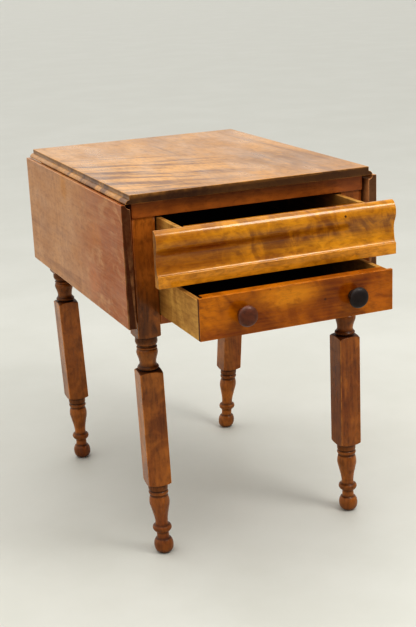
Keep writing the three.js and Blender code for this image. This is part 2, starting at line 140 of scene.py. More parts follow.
# ---- finishes ---------------------------------------------------------------------------------
def srgb(red, green, blue):
    """A colour as a paint chart gives it, 0 to 255, turned into linear light."""
    share = np.array([red, green, blue]) / 255
    linear = np.where(share < 0.04045, share / 12.92, ((share + 0.055) / 1.055) ** 2.4)
    return (*linear.tolist(), 1.0)


class Finish:
    """A material being wired up; each method adds one kind of node and gives its output."""

    def __init__(self, name):
        self.material = bpy.data.materials.new(name)
        self.material.use_nodes = True
        self.tree = self.material.node_tree
        self.shader = self.tree.nodes["Principled BSDF"]
        place = self.tree.nodes.new("ShaderNodeTexCoord")
        self.place = place.outputs["Object"]

    def put(self, value, socket):
        """Wires an output to a socket, or sets the socket to a plain value."""
        if isinstance(value, bpy.types.NodeSocket):
            self.tree.links.new(value, socket)
        else:
            socket.default_value = value

    def stretched(self, scale, offset=(0, 0, 0), turn=(0, 0, 0)):
        """Position turned, multiplied by a scale for each axis, and moved."""
        where = self.place
        if any(turn):
            turned = self.tree.nodes.new("ShaderNodeMapping")
            self.put(where, turned.inputs["Vector"])
            turned.inputs["Rotation"].default_value = turn
            where = turned.outputs["Vector"]
        node = self.tree.nodes.new("ShaderNodeMapping")
        self.put(where, node.inputs["Vector"])
        node.inputs["Scale"].default_value = scale
        node.inputs["Location"].default_value = offset
        return node.outputs["Vector"]

    def noise(self, where, scale=1.0, detail=3.0, rough=0.5, warp=0.0):
        node = self.tree.nodes.new("ShaderNodeTexNoise")
        self.put(where, node.inputs["Vector"])
        node.inputs["Scale"].default_value = scale
        node.inputs["Detail"].default_value = detail
        node.inputs["Roughness"].default_value = rough
        node.inputs["Distortion"].default_value = warp
        return node.outputs["Fac"]

    def rings(self, where, scale, warp, detail=2.0, axis="X"):
        """Growth rings: waving bands."""
        node = self.tree.nodes.new("ShaderNodeTexWave")
        node.bands_direction = axis
        self.put(where, node.inputs["Vector"])
        node.inputs["Scale"].default_value = scale
        node.inputs["Distortion"].default_value = warp
        node.inputs["Detail"].default_value = detail
        node.inputs["Detail Scale"].default_value = 1.3
        return node.outputs["Fac"]

    def spots(self, where, scale):
        """Distance to the nearest of a scatter of points."""
        node = self.tree.nodes.new("ShaderNodeTexVoronoi")
        self.put(where, node.inputs["Vector"])
        node.inputs["Scale"].default_value = scale
        return node.outputs["Distance"]

    def ball(self, centre, radius):
        """1 at a centre, falling to 0 at a radius for each axis."""
        scale = [1 / r for r in radius]
        node = self.tree.nodes.new("ShaderNodeTexGradient")
        node.gradient_type = "SPHERICAL"
        offset = [-c * s for c, s in zip(centre, scale)]
        self.put(self.stretched(scale, offset), node.inputs["Vector"])
        return node.outputs["Fac"]

    def remap(self, value, low, high, to_low=0.0, to_high=1.0):
        """A value's stretch from low to high, spread smoothly over another stretch."""
        node = self.tree.nodes.new("ShaderNodeMapRange")
        node.interpolation_type = "SMOOTHSTEP"
        self.put(value, node.inputs["Value"])
        for socket, number in zip(
                ("From Min", "From Max", "To Min", "To Max"), (low, high, to_low, to_high)):
            node.inputs[socket].default_value = number
        return node.outputs["Result"]

    def maths(self, operation, first, second):
        node = self.tree.nodes.new("ShaderNodeMath")
        node.operation = operation
        self.put(first, node.inputs[0])
        self.put(second, node.inputs[1])
        return node.outputs["Value"]

    def blend(self, share, first, second):
        """Two colours mixed by a share."""
        node = self.tree.nodes.new("ShaderNodeMix")
        node.data_type = "RGBA"
        self.put(share, node.inputs["Factor"])
        self.put(first, node.inputs["A"])
        self.put(second, node.inputs["B"])
        return next(o for o in node.outputs if o.type == "RGBA")

    def attribute(self, name):
        """A number kept on the piece's own points; 0 where the piece has none."""
        node = self.tree.nodes.new("ShaderNodeAttribute")
        node.attribute_name = name
        return node.outputs["Fac"]

    def bump(self, height, strength, distance, under=None):
        node = self.tree.nodes.new("ShaderNodeBump")
        node.inputs["Strength"].default_value = strength
        node.inputs["Distance"].default_value = distance
        self.put(height, node.inputs["Height"])
        if under is not None:
            self.put(under, node.inputs["Normal"])
        return node.outputs["Normal"]

    def done(self, colour, roughness, normal, **plain):
        """Wires the three maps to the shader and sets its plain values."""
        self.put(colour, self.shader.inputs["Base Color"])
        self.put(roughness, self.shader.inputs["Roughness"])
        self.put(normal, self.shader.inputs["Normal"])
        for name, value in plain.items():
            self.shader.inputs[name.replace("_", " ")].default_value = value
        return self.material


def along(grain, lengthwise, across):
    """Scale for the three axes: one number along the grain and another across it."""
    return [lengthwise if axis == grain else across for axis in (X, Y, Z)]


def wood(name, grain, deep, body, light, curl=0.3, curl_scale=30.0, curl_across=0.2,
         curl_place=None, cloud=0.5, rings=0.1, slant=0.0, smudges=(), spots=0.0, rough=0.36,
         coat=0.25, coat_rough=0.2, gloss=0.35, seed=0.0, open_pores=0.3, end_dark=0.55,
         shade_and_dark_bands=0.85, worn=None):
    """Old varnished wood, from these layers.

    Clouds along the grain go from body to light; growth rings and a slow streak darken to deep;
    curl is a figure of short bands across the grain; fine pores run along the grain; smudges are
    (centre, radius, colour, strength) patches, among them some painted shade and painted light;
    end grain darkens; painted shade, carried with some darker bands in the shade_and_dark_bands
    attribute, darkens grooves and creases and thins the coat there; edges are worn.
    Slant turns the clouds and the curl in the board's plane; curl_place keeps the curl to a ball;
    spots is the strength of small dark specks.
    """
    f = Finish(name)
    shift = (seed, seed * 1.7, seed * 0.6)
    turn = [0, 0, 0]
    turn[{X: Y, Y: Z, Z: X}[grain]] = slant

    clouds = f.noise(f.stretched(along(grain, 3.2, 9.0), shift, turn), 1, 4, 0.55, 0.6)
    colour = f.blend(f.remap(clouds, 0.32, 0.68, 0, cloud), body, light)

    slow = f.noise(f.stretched(along(grain, 1.6, 26.0), shift), 1, 3, 0.55, 0.4)
    colour = f.blend(f.remap(slow, 0.5, 0.78, 0, 0.75), colour, deep)

    banding = f.rings(f.stretched(along(grain, 0.9, 7.0), shift), 5.5, 9.0, 3.0, "DIAGONAL")
    colour = f.blend(f.remap(banding, 0.45, 1.0, 0, rings), colour, deep)

    bands = f.noise(f.stretched(along(grain, curl_scale, curl_scale * curl_across), shift, turn),
                    1, 3, 0.55, 1.1)
    figure = f.remap(bands, 0.36, 0.64)
    if curl_place:
        figure_share = f.remap(f.ball(*curl_place), 0.0, 0.55, curl * 0.15, curl)
    else:
        patchy = f.noise(f.stretched(along(grain, 4.0, 5.0), shift), 1, 2)
        figure_share = f.remap(patchy, 0.35, 0.65, curl * 0.35, curl)
    dark_bands = f.maths("MULTIPLY", f.maths("SUBTRACT", 1.0, figure), figure_share)
    light_bands = f.maths("MULTIPLY", figure, figure_share)
    colour = f.blend(dark_bands, colour, deep)
    colour = f.blend(light_bands, colour, light)

    ragged = f.noise(f.stretched(along(grain, 14.0, 30.0), shift), 1, 4, 0.6, 1.0)
    for centre, radius, tint, strength in smudges:
        patch = f.maths("MULTIPLY", f.remap(f.ball(centre, radius), 0.05, 0.75),
                        f.remap(ragged, 0.25, 0.55))
        colour = f.blend(f.maths("MULTIPLY", patch, strength), colour, tint)

    mottle = f.noise(f.stretched(along(grain, 60.0, 130.0), shift), 1, 4, 0.6, 0.5)
    colour = f.blend(f.remap(mottle, 0.42, 0.72, 0, 0.4), colour, deep)
    pores = f.noise(f.stretched(along(grain, 26.0, 900.0), shift), 1, 2, 0.6)
    pore_dark = f.remap(pores, 0.55, 0.78, 0, open_pores)
    colour = f.blend(pore_dark, colour, deep)
    fibre = f.noise(f.stretched(along(grain, 9.0, 210.0), shift), 1, 3, 0.6)
    colour = f.blend(f.remap(fibre, 0.3, 0.7, 0, 0.22), colour, light)

    if spots:
        cells = f.spots(f.stretched((1, 1, 1), shift), 24.0)
        some = f.noise(f.stretched((9, 9, 9), shift), 1, 1)
        dots = f.maths("MULTIPLY", f.remap(cells, 0.075, 0.035), f.remap(some, 0.5, 0.56))
        colour = f.blend(f.maths("MULTIPLY", dots, spots), colour, srgb(50, 22, 12))

    dark = srgb(46, 22, 12)
    colour = f.blend(f.maths("MULTIPLY", f.attribute("end_grain"), end_dark), colour, dark)
    # painted shade: grooves and creases darkened by the shade_and_dark_bands attribute, which on
    # the legs also holds darker bands
    colour = f.blend(f.maths("MULTIPLY", f.attribute("shade_and_dark_bands"), shade_and_dark_bands), colour, dark)
    chips = f.noise(f.stretched((38, 38, 38), shift), 1, 4, 0.65)
    rubbed = f.maths("MULTIPLY", f.attribute("wear"), f.remap(chips, 0.35, 0.62, 0.1, 0.75))
    colour = f.blend(rubbed, colour, worn or light)

    sheen = f.noise(f.stretched(along(grain, 6.0, 16.0), shift), 1, 4, 0.6)
    roughness = f.remap(sheen, 0.3, 0.7, rough - 0.07, rough + 0.1)
    roughness = f.maths("ADD", roughness, f.maths("MULTIPLY", pore_dark, 0.25))
    roughness = f.maths("ADD", roughness, f.maths("MULTIPLY", f.attribute("end_grain"), 0.2))
    hand = f.noise(f.stretched(along(grain, 4.0, 15.0), shift), 1, 2)
    normal = f.bump(hand, 0.35, 1.2 * MM)
    normal = f.bump(fibre, 0.16, 0.1 * MM, normal)
    normal = f.bump(pores, 0.12, 0.05 * MM, normal)
    # the coat is thinned on end grain and on the painted shade in grooves and creases
    end_grain_and_shade = f.maths("MAXIMUM", f.attribute("end_grain"), f.attribute("shade_and_dark_bands"))
    varnish = f.maths("MULTIPLY", f.maths("SUBTRACT", 1.0, f.maths("MULTIPLY", end_grain_and_shade, 0.8)), coat)
    f.put(varnish, f.shader.inputs["Coat Weight"])
    return f.done(colour, roughness, normal, Coat_Roughness=coat_rough,
                  Specular_IOR_Level=gloss)


def iron_finish():
    """Blackened iron with brown rust blooms and fine pitting."""
    f = Finish("blackened_iron")
    bloom = f.noise(f.stretched((60, 60, 60)), 1, 5, 0.65, 0.5)
    pits = f.noise(f.stretched((700, 700, 700)), 1, 2, 0.6)
    rust = f.remap(bloom, 0.45, 0.68)
    colour = f.blend(rust, srgb(62, 56, 52), srgb(104, 58, 34))
    colour = f.blend(f.remap(pits, 0.5, 0.75, 0, 0.6), colour, srgb(30, 24, 22))
    roughness = f.remap(rust, 0, 1, 0.42, 0.78)
    normal = f.bump(pits, 0.4, 0.1 * MM)
    return f.done(colour, roughness, normal, Metallic=0.75)


def floor_finish():
    """Plain pale paint with a faint mottle."""
    f = Finish("pale_floor")
    mottle = f.noise(f.stretched((2.2, 2.2, 2.2)), 1, 5, 0.6)
    colour = f.blend(f.remap(mottle, 0.3, 0.7), srgb(203, 204, 197), srgb(210, 211, 205))
    normal = f.bump(mottle, 0.05, 1 * MM)
    return f.done(colour, f.remap(mottle, 0.3, 0.7, 0.5, 0.65), normal)


# ---- surfaces ---------------------------------------------------------------------------------
def smooth(points, steps):
    """Catmull-Rom curve through rows of numbers: between rows 1 and 2 of any four it is half of
    2 P1 + (P2 - P0) t + (2 P0 - 5 P1 + 4 P2 - P3) t^2 + (3 P1 - P0 - 3 P2 + P3) t^3."""
    known = np.asarray(points, float)
    padded = np.vstack([2 * known[:1] - known[1:2], known, 2 * known[-1:] - known[-2:-1]])
    t = np.linspace(0, 1, steps, endpoint=False)[None, :, None]
    p0, p1, p2, p3 = (padded[i:len(padded) - 3 + i, None] for i in range(4))
    curve = 0.5 * (2 * p1 + (p2 - p0) * t + (2 * p0 - 5 * p1 + 4 * p2 - p3) * t ** 2
                   + (3 * p1 - p0 - 3 * p2 + p3) * t ** 3)
    return np.vstack([curve.reshape(-1, known.shape[1]), known[-1:]])


def bezier(start, lead, trail, end, steps=12):
    """Cubic curve (1-t)^3 A + 3 (1-t)^2 t B + 3 (1-t) t^2 C + t^3 D, without its last point."""
    t = np.linspace(0, 1, steps, endpoint=False)[:, None]
    a, b, c, d = (np.array(p, float) for p in (start, lead, trail, end))
    return (1 - t) ** 3 * a + 3 * (1 - t) ** 2 * t * b + 3 * (1 - t) * t ** 2 * c + t ** 3 * d


def arc(centre, radius, start, end, steps=14):
    """Points centre + radius (cos, sin) of angles from start to end."""
    angle = np.linspace(start, end, steps)
    return np.array(centre) + radius * np.column_stack([np.cos(angle), np.sin(angle)])


def plain(points):
    """Outline points that carry no wear: rows of (a, b, 0)."""
    points = np.asarray(points, float)
    return np.column_stack([points, np.zeros(len(points))])


def bend(before, corner, after, soft, worn=1.0, steps=5):
    """A corner C softened over a distance: (1-t)^2 A + 2 (1-t) t C + t^2 B, where A and B lie
    that far before and after it; a point more on each side keeps the flats flat. Wear is
    4 t (1-t)."""
    before, corner, after = (np.array(p, float) for p in (before, corner, after))
    back = (before - corner) / np.linalg.norm(before - corner)
    ahead = (after - corner) / np.linalg.norm(after - corner)
    t = np.linspace(0, 1, steps)[:, None]
    curve = ((1 - t) ** 2 * (corner + back * soft) + 2 * (1 - t) * t * corner
             + t ** 2 * (corner + ahead * soft))
    rounded = np.column_stack([curve, worn * 4 * t * (1 - t)])
    hold = 1.7 * soft
    return np.vstack([[*(corner + back * hold), 0], rounded, [*(corner + ahead * hold), 0]])


def soft_outline(corners, soft, worn=1.0):
    """A closed outline with each corner softened; soft is one distance or one for each."""
    corners = [np.array(c, float) for c in corners]
    softs = np.broadcast_to(soft, len(corners))
    return np.vstack([
        bend(corners[i - 1], corner, corners[(i + 1) % len(corners)], softs[i], worn)
        for i, corner in enumerate(corners)])


def rectangle(low_a, high_a, low_b, high_b):
    return [(low_a, low_b), (high_a, low_b), (high_a, high_b), (low_a, high_b)]


def carry(outline, axis, start, end, soft):
    """A closed outline (a, b, wear) carried along an axis from start to end.

    Row by row the ring is moved inwards along its own normals by soft (1 - sin q) while it goes
    along by soft (1 - cos q), q from 0 to a right angle, so both ends turn over a quarter round.
    Gives rows x ring points x (x, y, z), and the wear at each.
    """
    ring, ring_wear = outline[:, :2], outline[:, 2]
    ahead = np.roll(ring, -1, 0) - np.roll(ring, 1, 0)
    ahead /= np.linalg.norm(ahead, axis=1, keepdims=True)
    following = np.roll(ring, -1, 0)
    turning = np.sign(np.sum(ring[:, 0] * following[:, 1] - ring[:, 1] * following[:, 0]))
    outward = turning * np.column_stack([ahead[:, 1], -ahead[:, 0]])
    q = np.linspace(0, np.pi / 2, 5)
    inset = np.append(soft * (1 - np.sin(q)), 0)
    place = np.append(soft * (1 - np.cos(q)), 2 * soft)
    row_wear = np.append(np.sin(2 * q), 0)
    inset = np.concatenate([inset, inset[::-1]])
    place = np.concatenate([start + place, end - place[::-1]])
    row_wear = np.concatenate([row_wear, row_wear[::-1]])
    moved = ring[None] - outward[None] * inset[:, None, None]
    points = np.empty((len(place), len(ring), 3))
    points[..., axis] = place[:, None]
    points[..., [other for other in (X, Y, Z) if other != axis]] = moved
    wear = np.maximum(ring_wear[None], row_wear[:, None] * np.ones(len(ring))[None])
    return points, wear


def add_piece(name, points, body, material, grain, replaced=(), wear=None, shade_and_dark_bands=None):
    """Makes a closed piece from rows of rings: quads between rows, and a face over each end."""
    rows, cols = points.shape[:2]
    index = np.arange(rows * cols).reshape(rows, cols)
    beside = np.roll(index, -1, axis=1)
    quads = np.stack([index[:-1], beside[:-1], beside[1:], index[1:]], axis=-1).reshape(-1, 4)
    ends = [index[0, ::-1].tolist(), index[-1].tolist()]
    mesh = bpy.data.meshes.new(name)
    mesh.from_pydata(points.reshape(-1, 3), [], quads.tolist() + ends)
    shaped = bmesh.new()
    shaped.from_mesh(mesh)
    bmesh.ops.recalc_face_normals(shaped, faces=shaped.faces)
    shaped.to_mesh(mesh)
    shaped.free()
    smooth_faces = np.ones(len(mesh.polygons), bool)
    smooth_faces[-2:] = False
    mesh.polygons.foreach_set("use_smooth", smooth_faces)
    mesh.update()
    normals = np.empty(rows * cols * 3)
    mesh.vertex_normals.foreach_get("vector", normals)
    facing = np.abs(normals.reshape(-1, 3)[:, grain])
    values = {"end_grain": np.clip((facing - 0.55) / 0.35, 0, 1), "wear": wear, "shade_and_dark_bands": shade_and_dark_bands}
    for label, value in values.items():
        if value is not None:
            kept = mesh.attributes.new(label, "FLOAT", "POINT")
            kept.data.foreach_set("value", np.asarray(value, np.float32).ravel())
    mesh.materials.append(material)
    piece = bpy.data.objects.new(name, mesh)
    bpy.context.scene.collection.objects.link(piece)
    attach(piece, body)
    if replaced:
        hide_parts(*replaced)
    return piece


def add_board(name, node, body, material, grain, soft=1.3 * MM):
    """A plain board over a node's box, all its edges softened, carried along its grain."""
    low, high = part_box(node)
    across, up = [axis for axis in (X, Y, Z) if axis != grain]
    outline = soft_outline(rectangle(low[across], high[across], low[up], high[up]), soft)
    points, wear = carry(outline, grain, low[grain], high[grain], 0.65 * soft)
    return add_piece(name, points, body, material, grain, [node], wear)


# ---- top board and leaves ---------------------------------------------------------------------
RULE_RADIUS = 8.3 * MM
RULE_GAP = 0.6 * MM
HINGE_SLOT = (3.7 * MM, 33 * MM)  # half width and half length of the gain for a hinge's barrel


def add_top_board(material):
    """The rule-jointed top: a quarter round, a fillet and the flat, carried along the table;
    the hinge gains are grooves of the underside whose depth depends on the row."""
    low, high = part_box("top_board")
    half, under, head = high.x - RULE_RADIUS, low.z, high.z
    gain, reach = HINGE_SLOT
    step = under + RULE_RADIUS
    shallow = under + 0.02 * MM

    def side_of(sign):
        """Right half of the outline from the underside up, or its mirror, downwards."""
        groove = [(sign * (half - gain), under), (sign * (half - gain), shallow),
                  (sign * (half + gain), shallow), (sign * (half + gain), under)]
        round_over = arc((sign * half, under), RULE_RADIUS, 0 if sign > 0 else np.pi, np.pi / 2)
        top_corner = bend((sign * half, step), (sign * half, head), (0, head), 1.5 * MM)
        half_outline = np.vstack([plain(groove), plain(round_over), top_corner])
        return half_outline if sign > 0 else half_outline[::-1]

    outline = np.vstack([side_of(1), side_of(-1)])
    hinge_middles = [sum(corner.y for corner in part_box(f"top_hinge_plate_{end}_left")) / 2
                     for end in ENDS]
    edges = np.sort(np.concatenate([[m - reach, m - reach + 0.1 * MM, m + reach - 0.1 * MM,
                                     m + reach] for m in hinge_middles]))
    points, wear = carry(outline, Y, low.y, high.y, 1.0 * MM)
    middle = len(points) // 2
    between = np.repeat(points[middle - 1:middle], len(edges), axis=0)
    between[..., Y] = edges[:, None]
    depth = np.array([0, 1, 1, 0] * len(hinge_middles)) * gain
    grooved = np.isclose(outline[:, 1], shallow)
    between[:, grooved, Z] += depth[:, None]
    points = np.concatenate([points[:middle], between, points[middle:]])
    wear = np.concatenate([wear[:middle], np.repeat(wear[middle - 1:middle], len(edges), axis=0),
                           wear[middle:]])
    # painted shade in the crease of the rule joint, along the fillet
    from_fillet = np.abs(np.abs(points[..., X]) - half) / (2.2 * MM)
    in_corner = (points[..., Z] < head - 1.2 * MM) & (points[..., Z] > under + 3 * MM)
    shade_and_dark_bands = np.clip(1 - from_fillet, 0, 1) * in_corner
    add_piece("top_board_worn", points, "case", material, Y, ["top_board"], wear, shade_and_dark_bands)


def add_leaf(side, material):
    """A hanging leaf: a cove that fits the top's quarter round, then the board's two faces."""
    sign = SIDES[side]
    low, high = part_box(f"leaf_{side}")
    low_top, high_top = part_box("top_board")
    half, hinge_z = high_top.x - RULE_RADIUS, low_top.z
    outer = max(abs(low.x), abs(high.x))
    radius = RULE_RADIUS + RULE_GAP
    start = math.asin(RULE_GAP / radius)
    cove = arc((half, hinge_z), radius, -start, -np.pi / 2)
    foot = low.z
    lip = (outer, hinge_z - RULE_GAP)
    outline = np.vstack([
        bend((half + radius, lip[1]), lip, (outer, foot), 1.0 * MM),
        bend(lip, (outer, foot), (half, foot), 2.2 * MM),
        bend((outer, foot), (half, foot), (half, hinge_z), 1.6 * MM),
        plain(cove[::-1]),
    ])
    outline[:, 0] *= sign
    points, wear = carry(outline, Y, low.y, high.y, 0.7 * MM)
    add_piece(f"leaf_{side}_worn", points, f"{side}_leaf", material, Y,
              [f"leaf_{side}"], wear)


# ---- legs -------------------------------------------------------------------------------------
POST_FOOT = 453
POST_HALF = 22.75
CLEAR = 34  # a lathe radius that leaves the square untouched
# How far the lathe comes in, as (radius, height) from the floor up.
TURNING = np.vstack([
    smooth([(8, 0), (13.2, 1.7), (17.8, 7.5), (19.3, 16), (18.4, 23.5), (16.0, 28.8)], 7),
    [(14.6, 30.2), (12.8, 31.0)],
    smooth([(12.3, 32.2), (12.0, 37), (12.1, 43), (12.9, 45.4)], 4),
    smooth([(14.4, 46.0), (17.4, 49), (18.9, 53.2), (17.8, 57.4), (15.0, 60.0)], 6),
    smooth([(13.4, 60.4), (12.5, 64), (12.6, 69), (13.9, 79), (17.2, 94), (19.8, 106),
            (19.8, 114), (18.4, 121.5)], 7),
    smooth([(17.8, 123), (16.4, 124.2), (16.4, 126.4), (17.8, 127.4)], 3),
    smooth([(18.7, 128), (19.6, 131), (18.6, 134)], 4),
    smooth([(17.6, 134.6), (17.4, 135.6), (18.3, 136.4)], 3),
    smooth([(19.1, 138), (19.3, 143), (18.9, 148.4)], 4),
    smooth([(19.8, 149.2), (24.2, 150.3), (29, 152.2), (33, 154.6)], 10),
    [(CLEAR, 156), (CLEAR, 200), (CLEAR, 260), (CLEAR, 330), (CLEAR, 376.5)],
    smooth([(33, 379), (28.6, 382.0), (23.4, 383.9), (18.3, 384.9)], 10),
    smooth([(17.2, 385.4), (17, 386.2), (18.2, 386.9)], 3),
    smooth([(19.2, 387.4), (20.7, 390), (19.2, 392.8)], 6),
    smooth([(17.8, 393.4), (16.4, 397), (16.1, 400.5), (17.5, 408), (19.8, 415.5), (20.6, 420.0),
            (19.8, 424.6), (18.2, 427.2)], 7),
    smooth([(17.9, 427.8), (19.5, 429.2), (19.6, 430.6), (17.9, 432)], 4),
    smooth([(17.1, 432.8), (17.1, 434), (18.3, 435)], 3),
    smooth([(20.0, 436.6), (21.4, 441), (21.2, 446), (20.4, 451)], 5),
    smooth([(20.8, 451.9), (24.4, 452.5), (28.6, 453.2), (33, 454.4)], 9),
    [(CLEAR, 456)],
])
LEAN_HEIGHTS = (0, 149, 385, POST_FOOT)
TWIST_DONE = 388  # the twist grows from the post's foot down to this height
# (height, spread, strength) of darker bands round the turnings
TURNING_DARK_BANDS = [(444, 9, 0.6), (414, 13, 0.4), (391, 6, 0.65), (140, 11, 0.45),
               (53, 5, 0.3), (16, 14, 0.22), (4, 6, 0.3)]


def lathe_recess_shade(radius, height):
    """How far a turned surface lies inside its own average over 14 mm: painted shade goes there.
    """
    even = np.arange(0, height[-1] + 1, 0.5)
    turned = np.minimum(np.interp(even, height, radius), POST_HALF)
    reach = 14
    window = np.hanning(2 * reach + 1)
    padded = np.pad(turned, reach, mode="edge")
    average = np.convolve(padded, window / window.sum(), mode="valid")
    return np.interp(height, even, np.clip((average - turned) / 2.2, 0, 1))


def add_leg(name, material, twist=0.0):
    """A leg: at height z the distance from its axis is the smaller of the square post's and the
    lathe's, blended as -log(e^-ka + e^-kb) / k; below the post the axis leans sideways in three
    straight stretches and to the front in one, and the section turns by a small twist."""
    corners = [(-POST_HALF, -POST_HALF), (POST_HALF, -POST_HALF), (POST_HALF, POST_HALF),
               (-POST_HALF, POST_HALF)]
    edge = soft_outline(corners, 2.0)
    per_corner = len(edge) // 4
    flat = np.linspace(0, 1, 16)[1:-1, None]
    ring = np.vstack([
        part for i in range(4) for part in (
            edge[i * per_corner:(i + 1) * per_corner],
            edge[(i + 1) * per_corner - 1] * (1 - flat)
            + edge[((i + 1) * per_corner) % len(edge)] * flat)])
    square = np.linalg.norm(ring[:, :2], axis=1)
    angle = np.arctan2(ring[:, 1], ring[:, 0])

    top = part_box(name)[1].z / MM
    radius, height = TURNING.T
    radius = np.append(radius, [CLEAR, CLEAR, CLEAR, CLEAR - 4])
    height = np.append(height, [560, 640, top - 0.6, top])
    sharp = 2.6
    reach = -np.log(np.exp(-sharp * square[None]) + np.exp(-sharp * radius[:, None])) / sharp
    sideways, depthwise = LEAN[name]
    gone_x = np.interp(height, LEAN_HEIGHTS, [*sideways, 0])
    gone_y = np.interp(height, (0, POST_FOOT), (depthwise, 0))
    in_block = np.clip((POST_FOOT - height) / (POST_FOOT - TWIST_DONE), 0, 1)
    turned = angle[None] + twist * (in_block ** 2 * (3 - 2 * in_block))[:, None]

    left, front = name.endswith("left"), "front" in name
    post_x = POST_X * (-1 if left else 1)
    post_y = POST_FRONT_Y if front else POST_BACK_Y
    points = np.stack([
        post_x + gone_x[:, None] * MM + reach * np.cos(turned) * MM,
        post_y + gone_y[:, None] * MM + reach * np.sin(turned) * MM,
        np.broadcast_to(height[:, None] * MM, reach.shape),
    ], axis=-1)
    square_here = np.clip((radius[:, None] - square[None]) / 2, 0, 1)
    wear = ring[:, 2][None] * square_here
    # painted shade in the turnings' recesses, with the darker bands added on top
    recess_shade_and_bands = lathe_recess_shade(radius, height)
    for middle, spread, strength in TURNING_DARK_BANDS:
        recess_shade_and_bands = recess_shade_and_bands + strength * np.exp(-((height - middle) / spread) ** 2)
    shade_and_dark_bands = np.broadcast_to(np.clip(recess_shade_and_bands, 0, 1)[:, None], reach.shape)
    add_piece(f"{name}_turned", points, "case", material, Z, [name], wear, shade_and_dark_bands)


# Millimetres from the post's own axis: sideways at the first three lean heights, to the right
# positive, then depthwise at the floor, to the back positive; every foot stands to the front.
LEAN = {
    "leg_front_left": ((11, 5, 1), -6),
    "leg_front_right": ((-6, -8, -5.6), -13),
    "leg_back_left": ((9, 7, 2), -22),
    "leg_back_right": ((-45, -30, -8), -15),
}
case_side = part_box("side_panel_right")[1].x
rail_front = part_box("drawer_divider")[0].y
panel_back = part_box("side_panel_right")[1].y
POST_X = case_side - POST_HALF * MM
POST_FRONT_Y = rail_front + POST_HALF * MM
POST_BACK_Y = panel_back + GAP + POST_HALF * MM


# ---- drawers ----------------------------------------------------------------------------------
def add_ogee_front(material):
    """The upper drawer's ogee: flat band, sharp arris, hollow, swelling and rounded head, made
    of three cubic curves and carried across; a plain thickness stands behind it."""
    low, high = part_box("upper_drawer_front")
    side_low, side_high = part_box("upper_drawer_side_left")
    back = side_low.y - GAP
    face, foot, head = low.y, low.z, high.z
    arris = np.array((face, foot + 21.5 * MM))
    hollow = np.array((face + 8 * MM, foot + 49 * MM))
    swell = np.array((face + 0.3 * MM, head - 22.3 * MM))
    crown = np.array((back - 1 * MM, head))
    rise = np.array((0, MM))
    leave = arris + np.array((5, 2.5)) * MM
    outline = np.vstack([
        bend((back, head), (back, foot), (face, foot), 0.8 * MM, 0.3),
        bend((back, foot), (face, foot), arris, 0.9 * MM),
        # the arris's edge wear, raised to 1.3, is partly rubbing and partly a painted highlight
        # line along the arris
        bend((face, foot), arris, leave, 1.2 * MM, 1.3),
        plain(bezier(arris + (leave - arris) * 0.28, leave, hollow - 14 * rise, hollow, 14)),
        plain(bezier(hollow, hollow + 14 * rise, swell - 12 * rise, swell, 14)),
        plain(bezier(swell, swell + 12 * rise, (back - 9 * MM, head), crown, 14)[:-1]),
        bend(crown - np.array((2 * MM, 0)), (back, head), (back, foot), 0.6 * MM, 0.3),
    ])
    points, wear = carry(outline, X, low.x, high.x, 0.45 * MM)
    add_piece("ogee_front", points, "upper_drawer", material, X,
              ["upper_drawer_front"], wear)
    inner = side_high.x + GAP
    core = soft_outline(rectangle(back + 0.1 * MM, high.y, side_low.z, head), 0.8 * MM)
    points, wear = carry(core, X, inner, -inner, 0.5 * MM)
    add_piece("ogee_front_core", points, "upper_drawer", material, X, (), wear)


def add_lower_front(material):
    """The lower drawer's flat front, rebated behind for the sides, carried upwards."""
    low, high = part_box("lower_drawer_front")
    side_low, side_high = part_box("lower_drawer_side_left")
    lap = side_low.y - GAP
    inner = abs(side_high.x) - GAP
    corners = [(low.x, low.y), (high.x, low.y), (high.x, lap), (inner, lap), (inner, high.y),
               (-inner, high.y), (-inner, lap), (low.x, lap)]
    soft = np.array([1.4, 1.4, 0.4, 0.2, 0.8, 0.8, 0.2, 0.4]) * MM
    points, wear = carry(soft_outline(corners, soft), Z, low.z, high.z, 0.3 * MM)
    add_piece("flat_front", points, "lower_drawer", material, X,
              ["lower_drawer_front"], wear)


def add_drawer_side(level, side, material):
    """A drawer side with the groove that holds the bottom, carried front to back."""
    node = f"{level}_drawer_side_{side}"
    low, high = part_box(node)
    bottom_low, bottom_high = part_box(f"{level}_drawer_bottom")
    inner, outer = sorted((low.x, high.x), key=abs)
    deep = (bottom_low.x if side == "left" else bottom_high.x) + GAP * SIDES[side]
    floor, roof = bottom_low.z - GAP, bottom_high.z + GAP
    corners = [(outer, low.z), (inner, low.z), (inner, floor), (deep, floor), (deep, roof),
               (inner, roof), (inner, high.z), (outer, high.z)]
    soft = np.array([0.9, 0.9, 0.3, 0.2, 0.2, 0.3, 1.3, 1.3]) * MM
    points, wear = carry(soft_outline(corners, soft), Y, low.y, high.y, 0.25 * MM)
    add_piece(f"{node}_board", points, f"{level}_drawer", material, Y, [node], wear)


KNOB = np.vstack([
    [(11.2, 0), (11.3, 1.2)],
    smooth([(11.2, 2.4), (9.4, 4), (8.3, 7), (8.6, 10), (11.2, 12.8)], 6),
    smooth([(14.6, 13.6), (17.8, 15.2), (19.3, 18.2), (18.7, 21.2), (16.4, 24.2), (12.4, 26.6),
            (7, 28.1), (2.5, 28.55), (0.05, 28.6)], 7),
])


